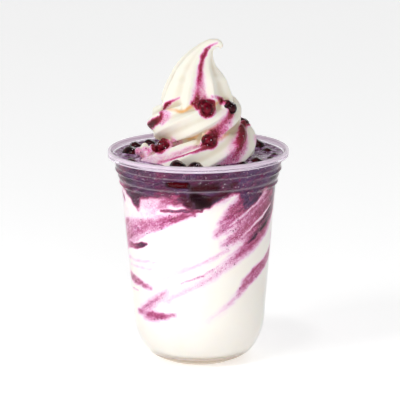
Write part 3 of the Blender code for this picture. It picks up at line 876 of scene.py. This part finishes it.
# Painted warm glow, as of light scattered in the ice cream, in the creases.
PAINTED_CREASE_GLOW = colour(238, 176, 98)
swirl_look = soft_serve_look("swirled_ice_cream", SWIRL_STAIN, 0.05, PAINTED_CREASE_GLOW, 0.0)
nozzle = star_nozzle()
ropes = [turned("core", [(0, CORE[0][1]), *CORE, (0, CORE[-1][1])], POINTS_ROUND)]
for name, point_at, steps, flutes in (
    ("coil", coil_point, COIL_STEPS, ROPE_FLUTES),
    ("peak", peak_point, PEAK_STEPS, PEAK_FLUTES),
):
    rope = nozzle_path(name, point_at, steps)
    ropes.append(run_through(rope, nozzle, Flutes=flutes, Points_Round=POINTS_ROUND, Look=swirl_look))

draw = random.Random(SEED)
for _ in range(LUMPS):
    azimuth = draw.uniform(*LUMP_SPAN)
    outer, height, rope = smooth_row(COIL, azimuth / 360)
    out = draw.uniform(*LUMP_SPREAD)
    lift = math.sqrt(rope**2 - out**2) + draw.uniform(*LUMP_LIFT)
    lump = ball_of("lump", draw.uniform(*LUMP_SIZES), 8)
    lump.data.transform(Matrix.Translation(at(azimuth, outer - rope + out, height + lift)))
    ropes.append(lump)

for azimuth, distance, height, radius in BERRIES_ON_SWIRL:
    clot = ball_of("clot", radius * CLOT, 12)
    middle = at(azimuth, distance - CLOT_INSET * radius, height - CLOT_DROP * radius)
    clot.data.transform(Matrix.Translation(middle))
    ropes.append(clot)
    for n in range(SHREDS):
        around = math.tau * (n + draw.uniform(*SHRED_STAGGER)) / SHREDS
        out = radius * draw.uniform(*SHRED_SPREAD)
        shred = ball_of("shred", radius * draw.uniform(*SHRED_SIZES), 6)
        sideways = at(azimuth + 90, out * math.cos(around), 0)
        forward = at(azimuth, radius * draw.uniform(*SHRED_LIFT), out * math.sin(around))
        shred.data.transform(Matrix.Translation(middle + sideways + forward))
        ropes.append(shred)

joined = bmesh.new()
for rope in ropes:
    joined.from_mesh(rope.data)
    bpy.data.objects.remove(rope)
swirl = placed("ice_cream_swirl", bpy.data.meshes.new("ice_cream_swirl"))
joined.to_mesh(swirl.data)
joined.free()
melt = swirl.modifiers.new("melt_together", "REMESH")
melt.mode = "VOXEL"
melt.voxel_size = SWIRL_GRAIN
melt.use_smooth_shade = True
settle = swirl.modifiers.new("settle", "SMOOTH")
settle.factor = 0.5
settle.iterations = 2
made_plain(swirl)
swirl.data.materials.clear()
swirl.data.materials.append(swirl_look)

FILM = 0.4 * MM  # thickness of the sauce that runs down the swirl
FILM_FROM = 0.3  # amount of sauce at which the film starts, and that over which it grows to its full depth
FILM_RISE = 0.4
# Each run: its softness, then azimuth, height in mm, half width in mm and percent of sauce along it.
STREAKS = (
    (4, (22, 161, 0.8, 22), (10, 156, 1.6, 26), (5, 150, 2.4, 30), (3, 145, 3.2, 34), (3, 141, 4.2, 40)),
    (1.9, (78, 168.2, 0.2, 40), (66, 167.1, 0.6, 60), (47, 165.2, 1, 74), (21, 161.4, 1.2, 76),
     (9, 157.2, 1.2, 70), (3, 150.5, 1, 62), (1, 147, 0.8, 48), (-1, 144, 0.9, 56), (-2, 141.7, 1.5, 80)),
    (2, (-9, 139.3, 1.2, 78), (0, 139.4, 2.4, 84), (12, 139.6, 3, 86), (22, 139.3, 2.2, 82)),
    (2.2, (3, 138, 2.2, 84), (13, 136.6, 4.4, 86), (20, 137.2, 2.6, 82)),
    (4, (-50, 135.5, 1.6, 30), (-46, 132.5, 2.8, 34), (-50, 129.5, 2.2, 30)),
    (1.8, (-36, 141.6, 0.3, 56), (-50, 139.6, 0.8, 72), (-57, 137.6, 1.2, 82), (-63, 135.4, 1.1, 80),
     (-58, 134.2, 1.1, 74), (-52, 133.2, 1, 70), (-54, 131.2, 1.4, 80), (-62, 128.8, 2, 92),
     (-74, 126.4, 2.2, 94), (-88, 124, 1.9, 88)),
    (5, (46, 132.5, 3.4, 36), (33, 127, 4.2, 40), (21, 122.8, 4.2, 42)),
    (2.4, (24, 142.6, 0.3, 50), (36, 141.8, 0.8, 70), (46, 139.8, 1.6, 86), (51, 137.4, 2.8, 90),
     (53, 134.8, 2.8, 88), (45, 132.5, 1.9, 66), (37, 130.2, 1.5, 50), (28, 126.8, 1.5, 48),
     (20, 123.8, 3.2, 78), (13, 121.2, 4.2, 86), (5, 119, 1.8, 74)),
    (5, (70, 123.5, 3.4, 36), (56, 120.4, 4.8, 40), (44, 115.6, 5, 40), (34, 111.4, 4.6, 36),
     (24, 109, 3.2, 30)),
    (2.6, (108, 123.4, 2.4, 86), (98, 124.4, 2, 86), (75, 124.3, 2.4, 86), (62, 122.5, 2.8, 84),
     (52, 120.4, 2.8, 82), (46, 117.3, 2.4, 74), (40, 114.6, 1.6, 56), (34, 112.6, 1, 36),
     (27, 110.6, 0.7, 28)),
    (4, (-36, 110.6, 2.2, 14), (-50, 110.2, 2.8, 18), (-64, 110, 3.2, 24), (-78, 109.2, 3, 30)),
    (3.4, (8, 119.8, 1.6, 32), (-6, 117.8, 1.7, 30), (-18, 115.4, 1.8, 24), (-30, 112.8, 2, 20),
     (-44, 110.8, 2, 16)),
    (1.5, (14, 119.2, 1.6, 80), (6, 118.2, 1, 74), (-3, 116.6, 0.8, 66), (-12, 114.9, 0.8, 62),
     (-22, 112.9, 0.8, 56), (-32, 111, 0.8, 46), (-42, 109.4, 0.9, 34)),
    (3, (-32, 118.4, 2, 30), (-40, 118.2, 4, 34)),
    (2, (-40, 118, 2.4, 70), (-46, 117.4, 4.8, 86), (-56, 116.6, 3.6, 84)),
    (3, (84, 118, 1.5, 30), (76, 114, 2.2, 40), (68, 110.6, 1.8, 36)),
    (3, (-58, 114.6, 1.8, 34), (-70, 113.4, 2.4, 24), (-84, 111.6, 2.2, 38)),
    (1.6, (-58, 118.6, 0.7, 86), (-70, 117.4, 0.9, 90), (-82, 116, 0.8, 86)),
    (4, (128, 163, 0.6, 20), (150, 157, 1.4, 24), (168, 150, 1.8, 26), (178, 144, 2.4, 30)),
    (2, (118, 166, 0.4, 50), (146, 160, 0.8, 70), (164, 153, 0.9, 66), (176, 146, 0.8, 60),
     (184, 141.6, 1.3, 80)),
    (2.2, (172, 139.2, 1, 80), (186, 139, 1.8, 86), (206, 138.6, 1.8, 84), (222, 139.4, 0.8, 70)),
    (4.6, (214, 134.6, 2.2, 30), (228, 130.4, 3, 34), (242, 126, 2.6, 30)),
    (2.2, (200, 137.4, 3.8, 84), (206, 137, 2, 84), (218, 133.6, 1.5, 78), (230, 130, 1.3, 66),
     (240, 126.4, 1.1, 56)),
    (4.6, (150, 129.6, 2.4, 30), (166, 125.4, 3.4, 34), (182, 121, 3, 30), (196, 116.6, 2, 26)),
    (2.4, (138, 131.4, 1.2, 76), (152, 128.6, 1.8, 86), (165, 125.4, 4.4, 86), (178, 120.6, 1.6, 76),
     (190, 116.4, 1, 56)),
    (2.2, (210, 118.4, 1.6, 74), (222, 116.2, 4.8, 86), (234, 113.6, 2, 80), (250, 110.4, 1.2, 60)),
    (2.4, (92, 130.6, 0.6, 50), (104, 127.4, 1.2, 74), (114, 123.2, 1.6, 86), (126, 118.4, 1.4, 74),
     (138, 113.4, 0.9, 50)),
)
# The same for the deepest creases, where a warm glow is painted, with its strength in percent.
CREASES = (
    (1.6, (-52, 136.2, 0.3, 30), (-45, 136, 0.6, 70), (-23, 135.4, 0.9, 90), (-11, 137.8, 0.8, 80)),
    (1.8, (-37, 117.7, 0.6, 50), (-13, 120.9, 1, 70), (6, 124, 1, 70), (31, 130.2, 0.5, 40)),
    (1.4, (22, 137.4, 0.6, 80), (30, 139, 0.8, 90), (42, 140, 0.5, 60)),
    (1.4, (23, 121, 0.5, 50), (34, 122.2, 0.8, 70), (52, 123.1, 0.5, 50)),
    (1.6, (150, 134.4, 0.5, 50), (172, 133.4, 0.9, 80), (196, 132.6, 0.8, 70), (214, 131.6, 0.4, 40)),
    (1.6, (134, 121.4, 0.5, 50), (160, 119.4, 0.9, 70), (188, 117.4, 0.6, 50)),
)
HOLLOWS = (  # rounds of smoothing, depth in mm that counts as full, and its share of the shade
    (60, 0.7, 0.75),
    (10, 0.1, 0.35),
)
OUTSIDE = 200 * MM
RUN_SWAY = (3 * MM, 0.5 * MM)


def on_surface(tree, azimuth, height):
    """Where a level line from outside meets a surface, at an azimuth and a height in mm. In mm."""
    start = at(azimuth, OUTSIDE, height * MM)
    hit = tree.ray_cast(start, Vector((-start.x, -start.y, 0)).normalized())[0]
    return hit / MM


swirl_points = read_points(swirl)
swirl_surface = BVHTree.FromPolygons(
    [Vector(point) for point in swirl_points], [tuple(face.vertices) for face in swirl.data.polygons]
)


def laid_on_swirl(runs):
    """The amount that runs leave at each point of the swirl."""
    moved = swayed(swirl_points, *RUN_SWAY) / MM
    amount = np.zeros(len(moved))
    for soft, *run in runs:
        line = [(*on_surface(swirl_surface, *row[:2]), row[2], row[3] / 100) for row in run]
        cover, level = along_mark(moved, line, soft)
        amount = amount * (1 - cover) + np.maximum(amount, level) * cover
    return amount


def hollows(target, rounds):
    """How deep, in mm, each point lies in a crease, set against the same surface smoothed."""
    ends = np.zeros(len(target.data.edges) * 2, np.int32)
    target.data.edges.foreach_get("vertices", ends)
    here = np.concatenate([ends[::2], ends[1::2]])
    there = np.concatenate([ends[1::2], ends[::2]])
    start = read_points(target)
    total = len(start)
    neighbours = np.bincount(here, minlength=total)
    even = start
    for _ in range(rounds):
        even = np.stack([np.bincount(here, even[there, axis], total) / neighbours for axis in range(3)], 1)
    return ((even - start) * read_points(target, "normal")).sum(1) / MM


run_down = laid_on_swirl(STREAKS)
carry(swirl, "sauce", run_down)
# painted warm glow in the creases, where no sauce lies
carry(swirl, "painted_glow", laid_on_swirl(CREASES) * (1 - run_down))
# Painted shade in the creases, by how deep they lie.
depths = [share * np.clip(hollows(swirl, rounds) / full, 0, 1) for rounds, full, share in HOLLOWS]
carry(swirl, "crease_shade", sum(depths))
film = FILM * np.clip((run_down - FILM_FROM) / FILM_RISE, 0, 1)
coated = swirl_points + read_points(swirl, "normal") * film[:, None]
swirl.data.vertices.foreach_set("co", coated.astype(np.float32).ravel())
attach(swirl, "root")
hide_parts("ice_cream")

# ------------------------------------------------------------------------------
# The blueberries: whole berries in the sauce and a few that lodged in the swirl's grooves. Each is a
# squashed ball with a shallow dent at the crown, and wears a film of sauce.
# ------------------------------------------------------------------------------
BERRIES_IN_SAUCE = in_metres((  # azimuth, then in mm: distance from the axis, height, radius
    (-99, 35.6, 107.3, 5.4),
    (-124, 39.4, 107.4, 4.1),
    (-138, 38.0, 107.9, 3.6),
    (-82, 38.4, 106.4, 3.3),
    (-65, 38.4, 106.8, 3.9),
    (-35, 38.8, 106.9, 4.0),
    (-16, 38.4, 109.2, 4.7),
    (-2, 38.8, 109.0, 4.5),
    (17, 39.2, 107.3, 4.3),
    (38, 38.6, 107.4, 4.3),
    (58, 36.6, 107.0, 4.5),
    (73, 39.6, 106.7, 3.4),
    (87, 40.2, 107.0, 3.2),
    (103, 37.6, 106.9, 3.9),
    (121, 36.5, 108.9, 4.0),
), (1, 2, 3))
BACK_BERRIES = 5
BACK_SPAN = (143, 204)
IN_SAUCE = len(BERRIES_IN_SAUCE) + BACK_BERRIES
DARK_ON_SWIRL = (22, 25, 27)  # berries there that stayed whole
BERRY_SIDES = 36
BERRY_RINGS = 26
BERRY_SQUASH = 0.9
BERRY_TIP = 0.5  # how far a berry tips over, in radians
CROWN_DENT = 0.16
DENT_REACH = 0.45  # radians from the crown
RING_PLACE = 0.55
RING_REACH = 0.13
STEEPED = (colour(18, 0, 5), colour(74, 6, 20))
CRUSHED = (colour(64, 0, 16), colour(138, 4, 38))


def berry_places():
    """Where the berries are, with an uneven row of them behind the swirl."""
    back = []
    first, last = BACK_SPAN
    for n in range(BACK_BERRIES):
        azimuth = first + (last - first) * n / (BACK_BERRIES - 1)
        distance = (38.6 + 0.5 * math.cos(1.9 * n)) * MM
        height = (107.4 + 0.9 * math.sin(2.4 * n)) * MM
        radius = (3.9 + 0.5 * math.sin(3.3 * n + 1)) * MM
        back.append((azimuth, distance, height, radius))
    return [*BERRIES_IN_SAUCE, *back, *BERRIES_ON_SWIRL]


def bell(tree, value, middle, reach):
    """A smooth hump of 1 where a value is at the middle."""
    away = calculated(tree, "DIVIDE", minus(tree, value, middle), reach)
    return calculated(tree, "EXPONENT", times(tree, calculated(tree, "POWER", away, 2.0), -1.0))


def berry_body():
    """Geometry Nodes: a squashed ball, uneven round its waist, dented in a low ring at the crown."""
    tree, given = new_maker(
        "berry_body", Geometry="Geometry", Sides="Int", Rings="Int", Radius="Float",
        Squash="Float", Dent="Float", Seed="Float", Look="Material",
    )
    round_body = {"Segments": given["Sides"], "Rings": given["Rings"], "Radius": 1.0}
    ball = add(tree, "GeometryNodeMeshUVSphere", round_body)
    position = add(tree, "GeometryNodeInputPosition")
    place = add(tree, "ShaderNodeSeparateXYZ", {0: position}).outputs
    polar = calculated(tree, "ARCCOSINE", place["Z"])
    around = calculated(tree, "ARCTAN2", place["Y"], place["X"])
    two = calculated(tree, "SINE", calculated(tree, "MULTIPLY_ADD", around, 2.0, given["Seed"]))
    three_turn = calculated(tree, "MULTIPLY_ADD", around, 3.0, times(tree, given["Seed"], 2.1))
    three = times(tree, calculated(tree, "SINE", three_turn), 0.03)
    waves = calculated(tree, "MULTIPLY_ADD", two, 0.04, three)
    uneven = calculated(tree, "MULTIPLY_ADD", calculated(tree, "SINE", polar), waves, 1.0)
    dent = times(tree, given["Dent"], bell(tree, polar, 0.0, DENT_REACH))
    five = calculated(tree, "COSINE", times(tree, around, 5.0))
    lobes = calculated(tree, "MULTIPLY_ADD", five, 0.02, 0.03)
    ring = times(tree, lobes, bell(tree, polar, RING_PLACE, RING_REACH))
    crown = calculated(tree, "ADD", minus(tree, 1.0, dent), ring)
    size = times(tree, given["Radius"], crown, uneven)
    spread = add(tree, "ShaderNodeCombineXYZ", {0: size, 1: size, 2: times(tree, size, given["Squash"])})
    swelled = add(tree, "ShaderNodeVectorMath", {0: position, 1: spread}, operation="MULTIPLY")
    shaped = add(tree, "GeometryNodeSetPosition", {"Geometry": ball, "Position": swelled})
    smooth = add(tree, "GeometryNodeSetShadeSmooth", {"Geometry": shaped})
    return finished(tree, smooth, given["Look"])


def berry_look(name, dark, lit):
    """Berry skin, cooked soft and wet: dark, with redder patches, fine wrinkles and pale specks painted as
    glints.
    """
    look, tree, shader = new_look(name, Roughness=0.14, Specular_IOR_Level=0.18)
    place = on_piece(tree)
    patches = ramp(tree, cloud(tree, place, 380, 4, 0.6), ((0.42, dark), (0.68, lit)))
    tree.links.new(grained(tree, place, patches, 480, 0.13, 0.8, FROST_AND_GLINT), shader.inputs["Base Color"])
    relief(tree, shader, cloud(tree, place, 900, 4), 0.4, 0.25 * MM)
    return look


steeped = berry_look("steeped_skin", *STEEPED)
crushed = berry_look("crushed_skin", *CRUSHED)
body = berry_body()
for n, (azimuth, distance, height, radius) in enumerate(berry_places(), start=1):
    berry = placed(f"berry_{n:02d}", bpy.data.meshes.new(f"berry_{n:02d}"))
    seed = azimuth * 0.37 + height / MM
    run_through(
        berry, body, Sides=BERRY_SIDES, Rings=BERRY_RINGS, Radius=radius, Squash=BERRY_SQUASH,
        Dent=CROWN_DENT, Seed=seed, Look=steeped if n <= IN_SAUCE or n in DARK_ON_SWIRL else crushed,
    )
    turn = Matrix.Rotation(seed, 4, "Z") @ Matrix.Rotation(BERRY_TIP * math.cos(seed), 4, "Y")
    turn = turn @ Matrix.Rotation(BERRY_TIP * math.sin(seed), 4, "X")
    berry.data.transform(Matrix.Translation(at(azimuth, distance, height)) @ turn)
    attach(berry, "root")
    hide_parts(f"blueberry_{n:02d}")

# ------------------------------------------------------------------------------
# The sauce: crushed blueberries in syrup, poured round the swirl up to just under the rim. It runs
# down between the ice cream and the wall, and creeps up a little on all that stands in it.
# ------------------------------------------------------------------------------
POOL_SIDES = 420
POOL_RINGS = 60
BAND_ROWS = 30
POOL_SHARE = 0.75
POOL_EDGE = 1.2 * MM  # below the level, what still counts as the open surface
RIPPLE = 0.4 * MM
RIPPLE_WIDTH = 4.5 * MM
CREEP = 0.9 * MM  # how far the sauce climbs what stands in it
CREEP_REACH = 1.1 * MM
POOL_STAIN = tints((0.3, 50, 8, 34), (0.44, 104, 52, 92), (0.56, 164, 128, 168), (0.68, 230, 212, 238))


def pool_height(place):
    """The open surface's height at a place: lumpy, and drawn up by the wall, the swirl and the berries."""
    distance = math.hypot(place.x, place.y)
    gaps = [wall_radius(SAUCE_LEVEL) - distance, swirl_surface.find_nearest(place)[3]]
    for azimuth, away, height, radius in berry_places():
        middle = at(azimuth, away, height)
        across = math.hypot(place.x - middle.x, place.y - middle.y)
        if across < 2 * radius and height < SAUCE_LEVEL + 3 * MM:
            gaps.append(across - math.sqrt(max(radius**2 - (SAUCE_LEVEL - height) ** 2, 0)))
    climb = math.exp(-max(min(gaps), 0) / CREEP_REACH)
    return SAUCE_LEVEL + CREEP * climb + RIPPLE * noise.fractal(place / RIPPLE_WIDTH, 0.8, 2.0, 3)


def sauce_look():
    """The open surface: glossy plum syrup with pulp and threads of thin foam in it."""
    look, tree, shader = new_look("blueberry_sauce", Roughness=0.1, IOR=1.42)
    place = on_piece(tree)
    pulp = cloud(tree, place, 240, 5, 0.65)
    tint = ramp(tree, pulp, POOL_STAIN)
    tree.links.new(grained(tree, place, tint, 520, 0.14, 0.7, FROST_AND_GLINT), shader.inputs["Base Color"])
    relief(tree, shader, pulp, 0.5, 0.6 * MM)
    return look


rings = [ring_of(0, SAUCE_BASE, POOL_SIDES)]
rings += [layer_ring(share, POOL_SIDES) for share in reversed(LAYER_SHARES)]
for n in range(BAND_ROWS + 1):
    rings.append(edge_ring(lambda edge: edge + (SAUCE_LEVEL + CREEP - edge) * n / BAND_ROWS, POOL_SIDES))
for n in range(1, POOL_RINGS):
    ring = ring_of(wall_radius(SAUCE_LEVEL) * (1 - n / POOL_RINGS * POOL_SHARE), SAUCE_LEVEL, POOL_SIDES)
    rings.append([Vector((place.x, place.y, pool_height(place))) for place in ring])
rings.append(ring_of(0, SAUCE_LEVEL, POOL_SIDES))
sauce = skin("blueberry_sauce_pool", rings)
stained, lit_red = wall_sauce(read_points(sauce))
carry(sauce, "sauce", stained)
carry(sauce, "painted_glow", lit_red)
sauce.data.materials.append(sauce_look())
sauce.data.materials.append(wall_look)
for face in sauce.data.polygons:
    open_top = face.normal.z > 0.5 and face.center.z > SAUCE_LEVEL - POOL_EDGE
    face.material_index = 0 if open_top else 1
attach(sauce, "root")
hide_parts("blueberry_sauce")

# ------------------------------------------------------------------------------
# The table and the light: a plain pale table top, a soft lamp at the upper left, a small one above
# it for the glints, a low wide one in front, and white walls that are brightest behind on the left.
# The camera stands well back, a little above the rim.
# ------------------------------------------------------------------------------
TABLE_REACH = 3.0
TABLE_GLOW = 0.45
CAMERA_DISTANCE = 2.5
CAMERA_ELEVATION = 12.5
CAMERA_TARGET = Vector((0, 0, 84.3 * MM))
CAMERA_ROLL = -0.38
PICTURE_WIDTH = 400
PIXELS_PER_MM = 1.908
SENSOR = 36
SIDE_STEP = 1.4  # pixels that the picture is shifted sideways
BACK_LEFT = (-0.35, 0.9, 0)
WALL_LIGHT = (0.62, 1.2)  # strength of the white walls in front and behind
CEILING_LIGHT = (1.0, 0.3)  # share of it, low at the walls and high at the ceiling
LAMP_RISE = 0.1  # the height from which their elevations are taken
LAMPS = (  # name, azimuth, elevation, distance, size, watts
    ("key", -50, 36, 0.9, 0.26, 2.15),
    ("top", -15, 66, 0.9, 0.1, 1.0),
    ("fill", 6, 14, 1.1, 0.34, 2.4),
)

mesh = bpy.data.meshes.new("table_top")
corners = [(x * TABLE_REACH, y * TABLE_REACH, 0) for x, y in ((-1, -1), (1, -1), (1, 1), (-1, 1))]
mesh.from_pydata(corners, [], [(0, 1, 2, 3)])
table_top = placed("table_top", mesh)
table_look, tree, shader = new_look("table_top", Base_Color=(0.92, 0.92, 0.92, 1), Roughness=0.6)
shader.inputs["Emission Color"].default_value = (1, 1, 1, 1)
shader.inputs["Emission Strength"].default_value = TABLE_GLOW
mesh.materials.append(table_look)

world = bpy.data.worlds.new("studio")
bpy.context.scene.world = world
world.use_nodes = True
tree = world.node_tree
direction = add(tree, "ShaderNodeTexCoord").outputs["Generated"]
towards = add(tree, "ShaderNodeVectorMath", {0: direction, 1: BACK_LEFT}, operation="DOT_PRODUCT")
walls = scaled(tree, towards.outputs["Value"], -0.6, 0.8, *WALL_LIGHT)
upward = add(tree, "ShaderNodeSeparateXYZ", {"Vector": direction}).outputs["Z"]
strength = times(tree, walls, scaled(tree, upward, 0.25, 0.6, *CEILING_LIGHT))
tree.links.new(strength.outputs[0], tree.nodes["Background"].inputs["Strength"])
tree.nodes["Background"].inputs["Color"].default_value = (1, 1, 1, 1)

for name, azimuth, elevation, distance, size, watts in LAMPS:
    lamp = bpy.data.lights.new(name, "AREA")
    lamp.shape = "SQUARE"
    lamp.size = size
    lamp.energy = watts
    light = placed(name, lamp)
    light.visible_camera = False
    rise = math.radians(elevation)
    light.location = at(azimuth, distance * math.cos(rise), distance * math.sin(rise) + LAMP_RISE)
    light.rotation_euler = (CAMERA_TARGET - light.location).to_track_quat("-Z", "Y").to_euler()

lens = bpy.data.cameras.new("camera")
camera = placed("camera", lens)
rise = math.radians(CAMERA_ELEVATION)
camera.location = CAMERA_TARGET + Vector((0, -math.cos(rise), math.sin(rise))) * CAMERA_DISTANCE
camera.rotation_mode = "QUATERNION"
aim = (CAMERA_TARGET - camera.location).to_track_quat("-Z", "Y")
camera.rotation_quaternion = aim @ Matrix.Rotation(math.radians(CAMERA_ROLL), 3, "Z").to_quaternion()
lens.sensor_width = SENSOR
lens.lens = PIXELS_PER_MM / MM * SENSOR * CAMERA_DISTANCE / PICTURE_WIDTH
lens.shift_x = SIDE_STEP / PICTURE_WIDTH
lens.clip_end = 100
bpy.context.scene.camera = camera
bpy.context.scene.view_settings.view_transform = "Standard"
